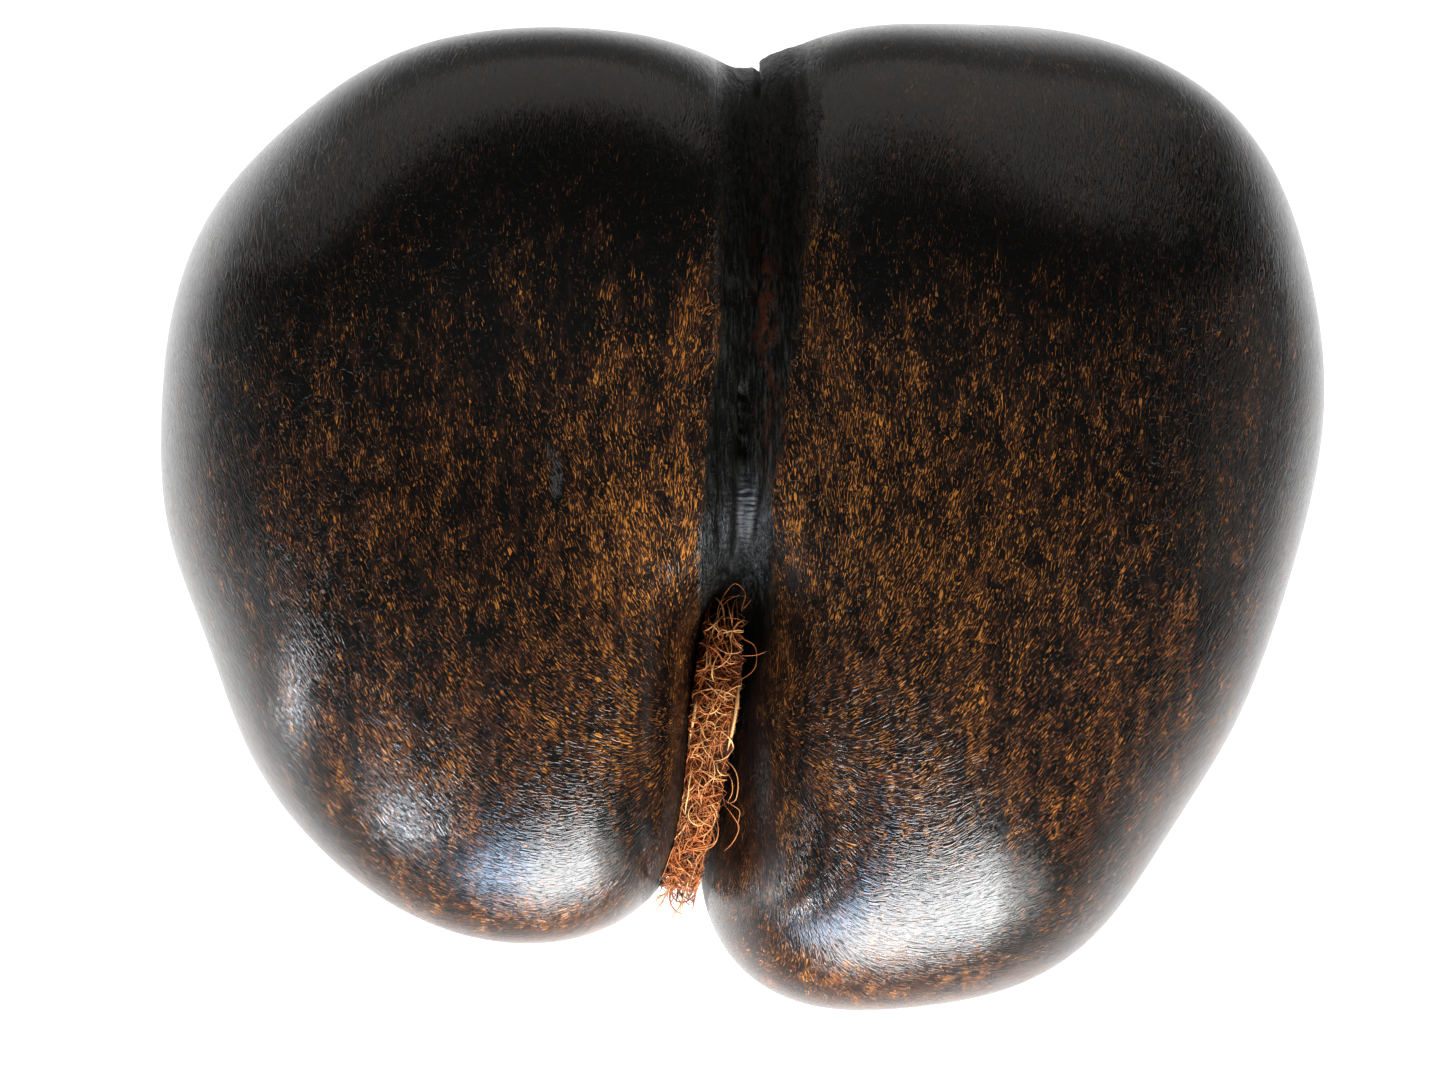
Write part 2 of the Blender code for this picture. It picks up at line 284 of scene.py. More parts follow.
@dataclass(frozen=True)
class Furrow:
    """The borders of the scar along the furrow, seen from the front, in millimetres."""

    border_y: Row = (-95, -75, -62, -48, -35, -22, -13, 1, 10, 26, 40, 57, 85, 125)
    left_x: Row = (-24.5, -20, -16.5, -13.6, -11.2, -10.4, -10.4, -9.6, -9, -7.6, -5.4, -5, -5, -5)
    right_x: Row = (-8, -4, -2, 1.5, 6, 8, 7.6, 7.4, 8.4, 10.2, 13, 14.8, 16.3, 16)

    def inside(self, points: np.ndarray) -> tuple[np.ndarray, np.ndarray]:
        """How far inside the scar's left and right border each point is, in metres."""
        y = points[:, 1] / MM
        left = points[:, 0] - np.interp(y, self.border_y, self.left_x) * MM
        right = np.interp(y, self.border_y, self.right_x) * MM - points[:, 0]
        return left, right


@dataclass(frozen=True)
class FleckFlow:
    """The way that the flecks lie: out from the root of the sinus, then more and more straight up."""

    source: Pair = (1.1 * MM, -51 * MM)
    reach: float = 58 * MM
    over_rim: float = 0.6
    nearest: float = 4 * MM
    shortest: float = 1e-6

    def ways(self, points: np.ndarray, normals: np.ndarray) -> np.ndarray:
        """The direction of the flecks at each point, flat on the surface, as one unit vector a row."""
        out = points[:, :2] - np.array(self.source)
        far = np.maximum(np.linalg.norm(out, axis=1), self.nearest)
        way = np.zeros_like(points)
        way[:, :2] = out * (self.reach**2 / far**3)[:, None]
        way += (0, 1, -self.over_rim)
        way -= normals * (way * normals).sum(axis=1, keepdims=True)
        return way / np.maximum(np.linalg.norm(way, axis=1, keepdims=True), self.shortest)


@dataclass(frozen=True)
class Cleft:
    """A narrow lengthwise opening in the scar, which fades out at both ends."""

    x: float
    y: Pair
    fade: float
    half_width: float
    depth: float

    def at(self, points: np.ndarray, wander: np.ndarray) -> np.ndarray:
        """How fully each point lies in it, from 0 to 1, where its line wanders sideways by that much."""
        low, high = self.y
        along = eased((points[:, 1] - low) / self.fade) * eased((high - points[:, 1]) / self.fade)
        return along * np.exp(-(((points[:, 0] + wander - self.x) / self.half_width) ** 2))


@dataclass(frozen=True)
class ScarRelief:
    """The scar's fine shape: lengthwise ribs, a crack at the top, a pitted slot and a splintered hollow."""

    ribs: Waves = Waves(2.6, 40, 9, 3.0)
    rib_height: float = 0.45 * MM
    fine_ribs: Waves = Waves(0.9, 9, 4, 11.0)
    fine_rib_height: float = 0.28 * MM
    bends: Waves = Waves(50, 5, 50, 5.0)
    wander: float = 0.35 * MM
    slot_wander: float = 4
    pits: Waves = Waves(1.3, 1.8, 9, 21.0)
    pit_share: float = 0.4
    unpitted: float = 0.6
    crack: Cleft = Cleft(3.9 * MM, (99 * MM, 121 * MM), 4 * MM, 0.5 * MM, 2.4 * MM)
    slot: Cleft = Cleft(0.4 * MM, (12 * MM, 31 * MM), 3 * MM, 0.9 * MM, 2.4 * MM)
    hollow: Patch = Patch(-1.2, -17.5, 4.2, 4.5, 3.2)
    polished: Patch = Patch(0.9, -0.5, 3.4, 8, 1.0)
    polished_gain: float = 1.4
    polished_calm: float = 0.85

    def height(self, points: np.ndarray, inside: np.ndarray, front: np.ndarray) -> np.ndarray:
        """How far each point moves out along its normal.

        Args:
            points: One point a row.
            inside: How fully each point lies in the scar, from 0 to 1.
            front: How fully each point lies on the front, from 0 to 1.

        Returns:
            One distance a point, negative where the surface sinks.
        """
        smooth = np.clip(self.polished.at(points) * self.polished_gain, 0, 1) * front
        ribs = self.rib_height * self.ribs.at(points) + self.fine_rib_height * self.fine_ribs.at(points)
        wander = self.wander * self.bends.at(points)
        ragged = self.unpitted + self.pit_share * self.pits.at(points)
        crack = self.crack.depth * self.crack.at(points, wander)
        slot = self.slot.depth * ragged * self.slot.at(points, self.slot_wander * wander)
        sunk = crack + slot + self.hollow.at(points) * MM * ragged
        return (ribs * (1 - self.polished_calm * smooth) - sunk * front) * inside


@dataclass(frozen=True)
class ShellFinish:
    """The polished shell: near-black brown under orange-brown flecks, with a dull black scar whose rib tops
    carry painted grey glints.
    """

    ground: Colour = linear("090807")
    warm_ground: Colour = linear("2e1d14")
    dark_fleck: Colour = linear("592c15")
    bright_fleck: Colour = linear("b06e2b")
    # Grey of the real scuffs, also used to paint the grey reflection on the slit's right wall.
    scuff_and_sheen_grey: Colour = linear("3e3c39")
    scar_black: Colour = linear("020201")
    # Painted glint: the grey that the scar's rib tops get in place of their lit edges.
    painted_glint_grey: Colour = linear("232521")
    scar_brown: Colour = linear("38190b")
    polished_scar: Colour = linear("131214")
    clump: float = 4.8 * MM
    clump_turn: Triple = (0.5, 0.4, 0.6)
    clump_shift: Triple = (40.0, 40.0, 0.0)
    clump_edge: Grain = Grain(2.6 * MM, 0.0)
    raggedness: float = 4.5 * MM
    fleck_length: float = 2.3 * MM
    fleck_width: float = 0.26 * MM
    jitter: float = 0.5
    fleck_scale: float = 1.0
    ripple_scale: float = 0.5
    stroke_detail: float = 1.0
    stroke_roughness: float = 0.6
    stroke_bend: float = 0.6
    blotches: Grain = Grain(2.4 * MM, 2.0, 0.65, (1.0, 0.36, 0.6))
    density_blotches: float = 1.2
    density_by_clump: float = 0.2
    bare_level: float = 0.72
    level_by_density: float = -0.25
    fleck_edge: Pair = (0.0, 0.14)
    warmth_blotches: float = 1.8
    warmth_by_clump: float = 0.5
    warmth_range: Pair = (-0.1, 0.9)
    ground_blotches: float = 1.2
    ground_by_density: float = 0.8
    ground_range: Pair = (0.1, 1.0)
    scuff_and_sheen_hairs: Pair = (0.35, 0.6)
    scuff_and_sheen_edge: Pair = (0.3, 0.6)
    grit: Grain = Grain(0.75 * MM, 2.0, 0.7, (1.0, 0.13, 0.4))
    # The part of the grit that turns grey as painted glints.
    painted_glint_range: Pair = (0.46, 0.72)
    brown_range: Pair = (0.45, 0.6)
    polished_share: float = 0.85
    wrinkles: Grain = Grain(1.5 * MM, 0.0, 0.5, (0.5, 1.6, 1.0))
    grit_bump: float = 5.0
    hair_bump: float = 2.0
    wrinkle_bump: float = 3.0
    polished_calm: float = -0.9
    hair_range: Pair = (0.3, 0.7)
    roughness_range: Pair = (0.18, 0.25)
    dull_roughness: float = 0.3
    scar_roughness: float = 0.25
    refraction: float = 1.5
    relief: float = 0.13 * MM

    def turned(self, graph: Graph, place: Socket, back: bool = False) -> Socket:
        """A place turned into the clumps' own slanted grid, or back out of it."""
        turn = graph.node("ShaderNodeVectorRotate", rotation_type="EULER_XYZ", invert=back)
        graph.feed(turn.inputs["Vector"], place)
        turn.inputs["Rotation"].default_value = self.clump_turn
        return turn.outputs[0]

    def hairs(self, graph: Graph, place: Socket) -> tuple[Socket, Socket, Socket]:
        """A fine streaky pattern that lies along the grain, in ragged clumps that each lean their own way.

        Args:
            graph: The material's node tree.
            place: Object coordinates.

        Returns:
            The pattern, from 0 to 1, the same at a coarser scale, and a random colour for each clump.
        """
        wander = graph.centred(self.clump_edge.on(graph, place, "Color"))
        ragged = graph.vector("MULTIPLY_ADD", wander, (2 * self.raggedness,) * 3, place)
        cell = graph.vector("SNAP", self.turned(graph, ragged), (self.clump,) * 3)
        dice = graph.node("ShaderNodeTexWhiteNoise", noise_dimensions="3D")
        graph.feed(dice.inputs["Vector"], cell)
        chance = dice.outputs["Color"]
        offset = graph.vector("SUBTRACT", place, self.turned(graph, cell, back=True))
        grain = graph.attribute("grain", "Vector")
        way = graph.vector("MULTIPLY_ADD", graph.centred(chance), (self.jitter,) * 3, grain)
        normal = graph.node("ShaderNodeNewGeometry").outputs["Normal"]
        side = graph.vector("NORMALIZE", graph.vector("CROSS_PRODUCT", normal, way))
        ahead = graph.vector("CROSS_PRODUCT", side, normal)
        across = graph.maths("DIVIDE", graph.vector("DOT_PRODUCT", offset, side), self.fleck_width)
        along = graph.maths("DIVIDE", graph.vector("DOT_PRODUCT", offset, ahead), self.fleck_length)
        flat = graph.node("ShaderNodeCombineXYZ")
        graph.feed(flat.inputs[0], across)
        graph.feed(flat.inputs[1], along)
        moved = graph.vector("MULTIPLY_ADD", chance, self.clump_shift, flat.outputs[0])
        fine, coarse = (self.strokes(graph, moved, scale) for scale in (self.fleck_scale, self.ripple_scale))
        return fine, coarse, chance

    def strokes(self, graph: Graph, flat: Socket, scale: float) -> Socket:
        """A flat noise of short wavy strokes."""
        made = graph.node("ShaderNodeTexNoise", noise_dimensions="2D")
        graph.feed(made.inputs["Vector"], flat)
        made.inputs["Scale"].default_value = scale
        made.inputs["Detail"].default_value = self.stroke_detail
        made.inputs["Roughness"].default_value = self.stroke_roughness
        made.inputs["Distortion"].default_value = self.stroke_bend
        return made.outputs["Fac"]

    def polish(self, graph: Graph, hairs: Socket, chance: Socket, blotches: Socket) -> Socket:
        """The colour of the polished shell: thin flecks over a dark ground, with scuffs and a painted grey
        sheen on top.

        Args:
            graph: The material's node tree.
            hairs: The streaky pattern.
            chance: The random colour of each clump.
            blotches: Three soft noises that run along the shell.

        Returns:
            The colour.
        """
        dice = graph.parts(graph.centred(chance))
        soft = graph.parts(graph.centred(blotches))
        density = graph.scaled(soft[0], self.density_blotches, graph.attribute("fleck"))
        density = graph.scaled(dice[0], self.density_by_clump, density)
        level = graph.scaled(density, self.level_by_density, self.bare_level)
        mask = graph.spread(graph.maths("SUBTRACT", hairs, level), *self.fleck_edge)
        warmth = graph.scaled(soft[1], self.warmth_blotches, graph.attribute("warmth"))
        warmth = graph.scaled(dice[1], self.warmth_by_clump, warmth)
        fleck = graph.mix(graph.spread(warmth, *self.warmth_range), self.dark_fleck, self.bright_fleck)
        under = graph.maths("MULTIPLY", density, self.ground_by_density)
        under = graph.scaled(soft[2], self.ground_blotches, under)
        ground = graph.mix(graph.spread(under, *self.ground_range), self.ground, self.warm_ground)
        # Scuffs, and the painted grey reflection on the slit's right wall, lie over the flecks.
        scuff_and_sheen = graph.maths("MULTIPLY", graph.attribute("scuff_and_sheen"), graph.spread(hairs, *self.scuff_and_sheen_hairs))
        return graph.mix(graph.spread(scuff_and_sheen, *self.scuff_and_sheen_edge), graph.mix(mask, ground, fleck), self.scuff_and_sheen_grey)

    def scar(self, graph: Graph, blotches: Socket, grit: Socket) -> Socket:
        """The colour of the scar, from the soft blotches and the fine grit of its ribs, whose high points get
        painted grey glints.
        """
        patchy = graph.spread(graph.parts(blotches)[0], *self.brown_range)
        brown = graph.maths("MULTIPLY", graph.attribute("scar_brown"), patchy)
        polished = graph.maths("MULTIPLY", graph.attribute("polish"), self.polished_share)
        # The grit's high points turn grey: painted glints on the lit rib edges.
        colour = graph.mix(graph.spread(grit, *self.painted_glint_range), self.scar_black, self.painted_glint_grey)
        return graph.mix(polished, graph.mix(brown, colour, self.scar_brown), self.polished_scar)

    def scar_height(self, graph: Graph, place: Socket, hairs: Socket, grit: Socket) -> Socket:
        """The fine height of the scar: ribs of hairs and grit, and cross wrinkles where it is polished."""
        polish = graph.attribute("polish")
        ribs = graph.scaled(grit, self.grit_bump, graph.maths("MULTIPLY", hairs, self.hair_bump))
        ribs = graph.maths("MULTIPLY", ribs, graph.scaled(polish, self.polished_calm, 1.0))
        wrinkles = graph.maths("MULTIPLY", self.wrinkles.on(graph, place), polish)
        return graph.scaled(wrinkles, self.wrinkle_bump, ribs)

    def material(self, name: str, gloss: float, rough: bool) -> bpy.types.Material:
        """The finished material.

        Args:
            name: The material's name.
            gloss: The strength of its reflection.
            rough: Whether it has the scar's fine ribs.

        Returns:
            The material, which is the shell's or the scar's where the mesh says so.
        """
        graph = Graph(name)
        place = graph.place()
        hairs, height, chance = self.hairs(graph, place)
        blotches = self.blotches.on(graph, place, "Color")
        grit = hairs
        if rough:
            grit = self.grit.on(graph, place)
            height = self.scar_height(graph, place, hairs, grit)
        scar = graph.attribute("scar")
        shell = self.polish(graph, hairs, chance, blotches)
        colour = graph.mix(scar, shell, self.scar(graph, blotches, grit))
        grazed = graph.spread(hairs, *self.hair_range, *self.roughness_range)
        grazed = graph.scaled(graph.attribute("dull"), self.dull_roughness, grazed)
        graph.feed(graph.shader.inputs["Base Color"], colour)
        graph.feed(graph.shader.inputs["Roughness"], graph.scaled(scar, self.scar_roughness, grazed))
        graph.feed(graph.shader.inputs["Normal"], graph.bump(height, self.relief))
        graph.shader.inputs["IOR"].default_value = self.refraction
        graph.shader.inputs["Specular IOR Level"].default_value = gloss
        return graph.material


@dataclass
class Shell:
    """The nut's visible skin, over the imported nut."""

    node: str = "nut"
    levels: int = 2
    scar_cuts: int = 2
    join_angle: float = math.radians(50)
    join_shape_angle: float = math.radians(70)
    cut_slant: float = 0.5
    border_softness: float = 0.7 * MM
    right_softness: float = 2.5
    border_waves: Waves = Waves(2.2, 14, 12, 31.0)
    border_wander: float = 1.6 * MM
    lower_share: float = 0.45
    lower_y: float = -80 * MM
    lower_fade: float = 70 * MM
    relief_margin: float = 1.2 * MM
    relief_fade: float = 8 * MM
    front_from: float = 95 * MM
    front_softness: float = 25 * MM
    widest_z: float = 60 * MM
    scar_ends_y: float = -20 * MM
    polish_gain: float = 1.5
    streaks: tuple[tuple[float, Waves], ...] = (
        (0.22, Waves(5, 22, 14, 41.0)),
        (0.17, Waves(2.2, 9, 7, 43.0)),
    )
    even_density: float = 0.24
    even_warmth: float = 0.18
    warm_streaks: float = 0.5
    furrow: Furrow = field(default_factory=Furrow)
    flow: FleckFlow = field(default_factory=FleckFlow)
    relief: ScarRelief = field(default_factory=ScarRelief)
    finish: ShellFinish = field(default_factory=ShellFinish)
    brown_ridges: tuple[Patch, ...] = (Patch(5.5, 50, 2.6, 26, 0.9), Patch(9, 0, 2, 22, 0.6))
    density: tuple[Patch, ...] = (
        Patch(-28, 8, 17, 42, 0.27),
        Patch(-27, -28, 20, 28, 0.16),
        Patch(-85, -8, 52, 44, 0.2),
        Patch(48, 0, 56, 50, 0.33),
        Patch(5, -58, 5, 30, -0.12),
        Patch(-19, -66, 4, 34, -0.3),
        Patch(28, 48, 14, 34, 0.2),
        Patch(-20, 60, 12, 30, 0.12),
        Patch(60, 108, 20, 12, 0.16),
        Patch(62, -70, 75, 40, 0.3),
        Patch(-60, -70, 70, 34, 0.26),
        Patch(-42, -88, 22, 13, -0.3),
        Patch(56, -100, 26, 14, -0.3),
        Patch(40, -124, 60, 15, 0.45),
        Patch(-60, -106, 60, 15, 0.35),
        Patch(-14, 88, 9, 24, -0.35),
        Patch(25, 92, 9, 22, -0.3),
        Patch(-22, 76, 6, 19, -0.6),
        Patch(33, 60, 5.5, 16, -0.6),
        Patch(-40, 95, 60, 18, -0.25),
        Patch(60, 78, 60, 16, -0.2),
        Patch(-100, 62, 45, 25, -0.1),
        Patch(22, 74, 7, 24, 0.4),
        Patch(-11.5, 70, 4, 28, 0.3),
    )
    warmth: tuple[Patch, ...] = (
        Patch(-28, 5, 22, 45, 0.42),
        Patch(50, 0, 60, 50, 0.42),
        Patch(-85, -5, 50, 45, 0.16),
        Patch(28, 55, 20, 40, 0.15),
        Patch(22, 70, 8, 26, 0.15),
        Patch(-12, 66, 5, 30, 0.15),
        Patch(20, -85, 130, 35, 0.1),
    )
    scuffs_and_sheen: tuple[Patch, ...] = (
        Patch(-47.5, 9, 1.9, 7, 1.0),
        Patch(-49.5, 17, 1.2, 3, 0.7),
        Patch(-65, -54.5, 0.7, 3, 0.8),
        # Not a scuff: this spot paints the grey reflection streak on the slit's right wall.
        Patch(6, -70, 4, 22, 0.55),
    )
    dull: tuple[Patch, ...] = (Patch(7, -82, 4, 14, 1.0), Patch(3, -56, 5, 20, 0.7))
    hazy_top: Pair = (45, 100)
    top_softness: float = 6 * MM
    glosses: tuple[tuple[str, float], ...] = (
        ("polished_shell", 0.5),
        ("scar_border", 0.4),
        ("scar_edge", 0.28),
        ("dull_scar", 0.17),
    )
    gloss_steps: Row = (0.2, 0.5, 0.8)
    gloss_waves: Waves = Waves(1.6, 7, 7, 51.0)
    gloss_wander: float = 0.12

    def skin(self) -> bpy.types.Mesh:
        """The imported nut's surface with even, smooth cells."""
        bm = bmesh_of(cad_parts[self.node].data)
        bmesh.ops.remove_doubles(bm, verts=bm.verts[:], dist=MERGE)
        bmesh.ops.join_triangles(
            bm,
            faces=bm.faces[:],
            angle_face_threshold=self.join_angle,
            angle_shape_threshold=self.join_shape_angle,
        )
        triangles = sum(len(face.verts) == 3 for face in bm.faces)
        LOG.info("skin: %d faces, %d of them triangles", len(bm.faces), triangles)
        shape = add_object("skin", mesh_of(bm, "skin"))
        smooth = shape.modifiers.new("smooth", "SUBSURF")
        smooth.levels = smooth.render_levels = self.levels
        fine = evaluated_mesh(shape)
        bpy.data.objects.remove(shape)
        return fine

    def build(self) -> bpy.types.Object:
        """Builds the shell and dresses it.

        Returns:
            The shell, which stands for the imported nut.
        """
        mesh = self.skin()
        bm = bmesh_of(mesh)
        self.cut_scar(bm)
        bm.to_mesh(mesh)
        bm.free()
        points, normals = vectors_of(mesh, "co"), vectors_of(mesh, "normal")
        front = eased((points[:, 2] - self.front_from + self.front_softness) / self.front_softness)
        left, right = self.furrow.inside(points)
        above = eased((points[:, 1] - self.scar_ends_y) / self.relief_fade)
        inside = eased(left / self.relief_margin) * eased(right / self.relief_margin) * above
        height = self.relief.height(points, inside, front)
        mesh.vertices.foreach_set("co", (points + normals * height[:, None]).ravel())
        mesh.update()
        scar = self.scar_share(points)
        paint(mesh, "grain", self.flow.ways(points, normals))
        paint(mesh, "scar", scar)
        self.paint_shell(mesh, points, front)
        mesh.shade_smooth()
        self.add_materials(mesh, scar + self.gloss_wander * self.gloss_waves.at(points))
        made = add_object("polished_nut", mesh)
        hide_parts(self.node)
        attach(made, "root")
        return made

    def scar_share(self, points: np.ndarray) -> np.ndarray:
        """How fully each point shows the scar's dull surface, from 0 to 1."""
        left, right = self.furrow.inside(points)
        rise = eased((points[:, 1] - self.lower_y) / self.lower_fade)
        below = self.lower_share + (1 - self.lower_share) * rise
        ragged = self.border_wander * self.border_waves.at(points)
        soft = np.interp(points[:, 1] / MM, self.hazy_top, (self.border_softness, self.top_softness))
        on_left = eased(0.5 + (left - self.border_softness / 2) / soft)
        on_right = eased(0.5 + (right + ragged) / (self.right_softness * soft))
        return on_left * on_right * below

    def paint_shell(self, mesh: bpy.types.Mesh, points: np.ndarray, front: np.ndarray) -> None:
        """Writes the values that the finish reads: flecks, warmth, dull spots, scuffs with a painted sheen,
        and ridges.

        Args:
            mesh: The shell's mesh.
            points: Its vertices before the scar's relief, one a row.
            front: How fully each of them lies on the front, from 0 to 1.
        """
        seen = as_seen(points)
        high = eased(points[:, 2] / self.widest_z)
        streaks = sum(share * waves.at(points) for share, waves in self.streaks)
        density = self.even_density + streaks + total(self.density, seen) * high
        warmth = self.even_warmth + self.warm_streaks * streaks + total(self.warmth, seen) * high
        polish = self.relief.polished.at(points) * self.polish_gain
        paint(mesh, "polish", np.clip(polish, 0, 1) * front)
        paint(mesh, "scar_brown", np.clip(total(self.brown_ridges, points), 0, 1) * front)
        paint(mesh, "fleck", np.clip(density, 0, 1))
        paint(mesh, "warmth", np.clip(warmth, 0, 1))
        paint(mesh, "dull", np.clip(total(self.dull, seen), 0, 1) * front)
        # Real scuffs, plus the painted grey reflection on the slit's right wall.
        paint(mesh, "scuff_and_sheen", total(self.scuffs_and_sheen, seen) * front)

    def add_materials(self, mesh: bpy.types.Mesh, shares: np.ndarray) -> None:
        """Gives each face one of the four glosses, duller towards the middle of the scar.

        Args:
            mesh: The shell's mesh.
            shares: How fully each vertex counts as scar.
        """
        mesh.materials.clear()
        for number, (name, gloss) in enumerate(self.glosses):
            mesh.materials.append(self.finish.material(name, gloss, rough=number > 0))
        steps = self.gloss_steps
        faces = [int(np.digitize(shares[list(face.vertices)].mean(), steps)) for face in mesh.polygons]
        mesh.polygons.foreach_set("material_index", faces)

    def cut_scar(self, bm: bmesh.types.BMesh) -> None:
        """Cuts the lengthwise edges of the scar's front into shorter ones."""
        points = np.array([v.co for v in bm.verts])
        left, right = self.furrow.inside(points)
        near = (left > -MM) & (right > -MM)
        chosen = near & (points[:, 1] > self.scar_ends_y) & (points[:, 2] > self.front_from)
        bm.verts.ensure_lookup_table()
        edges = []
        for edge in bm.edges:
            first, second = edge.verts
            if chosen[first.index] and chosen[second.index]:
                way = second.co - first.co
                if abs(way.x) < self.cut_slant * way.length:
                    edges.append(edge)
        bmesh.ops.subdivide_edges(bm, edges=edges, cuts=self.scar_cuts, use_grid_fill=True)


class Lie(Enum):
    """How a group of fibres lies on the tuft."""

    TANGLED = "tangled"
    STRAIGHT = "straight"
    LENGTHWISE = "lengthwise"
    FRAYED = "frayed"


@dataclass(frozen=True)
class Strands:
    """A group of fibres that lie alike.

    The length and the start above the tuft's end are ranges in millimetres. Fibres with no such start lie all
    over the tuft and head anywhere, and the others head down it with that mean lean and scatter.
    """

    lie: Lie
    count: int
    length: Pair
    curl: Row
    above_end: Pair | None = None
    lean: Pair = (0.0, 0.0)


@dataclass(frozen=True)
class Wander:
    """How each fibre starts, and how it wanders over the mat. Heights are in millimetres."""

    corners: int = 12
    crowding: float = 0.8
    sideways: Pair = (-0.95, 0.95)
    height: Pair = (-0.8, 2.6)
    bulge: Pair = (0.2, 1.8)
    side_room: float = 1.15
    side_fall: float = 5
    past_end: float = 2 * MM
    past_top: float = 6 * MM
    turn_change: float = 0.6
    sharpest_turn: float = 1.2
    turn_share: float = 0.5
    loosest: float = 1.6 * MM
    turned_back: float = 0.75
    scatter: float = 0.3


@dataclass(frozen=True)
class FibreShade:
    """How pale each fibre is: paler the higher it stands out, which paints light on the top fibres and shade
    on the lower ones, and darker at the tuft's end.
    """

    base: float = 0.04
    up_the_tuft: float = 0.24
    end_length: float = 25 * MM
    # Paler per millimetre above the tuft's front: painted light on top, painted shade below.
    painted_light_by_height: float = 0.11
    scatter: float = 0.16
    darkest: float = 0.08
    # The mat's dark tone is painted shade for the depths under the fibres.
    mat: float = 0.1


@dataclass(frozen=True)
class Placed:
    """A single fibre: where it runs across, along and above the tuft's front, its radius and its shade.

    All lengths are in millimetres.
    """

    line: tuple[Triple, ...]
    radius: float
    shade: float


@dataclass(frozen=True)
class FibreFinish:
    """Dry coir: matt orange-brown, darker in the mat, which paints the shade under the fibres, and paler
    along single fibres.
    """

    dark: Colour = linear("2c1206")
    middle: Colour = linear("ab5916")
    pale: Colour = linear("e8b673")
    middle_at: float = 0.55
    roughness: float = 0.75
    blotches: Grain = Grain(2.5 * MM, 3.0)
    blotchiness: float = 0.25
    grit: Grain = Grain(0.35 * MM, 2.0)
    relief: float = 0.08 * MM

    def material(self) -> bpy.types.Material:
        """The finished material."""
        graph = Graph("dry_fibre")
        place = graph.place()
        even = graph.maths("SUBTRACT", graph.attribute("shade"), self.blotchiness / 2)
        mixed = graph.scaled(self.blotches.on(graph, place), self.blotchiness, even)
        colour = graph.mix(graph.spread(mixed, 0.0, self.middle_at), self.dark, self.middle)
        colour = graph.mix(graph.spread(mixed, self.middle_at, 1.0), colour, self.pale)
        graph.feed(graph.shader.inputs["Base Color"], colour)
        graph.shader.inputs["Roughness"].default_value = self.roughness
        graph.feed(graph.shader.inputs["Normal"], graph.bump(self.grit.on(graph, place), self.relief))
        return graph.material


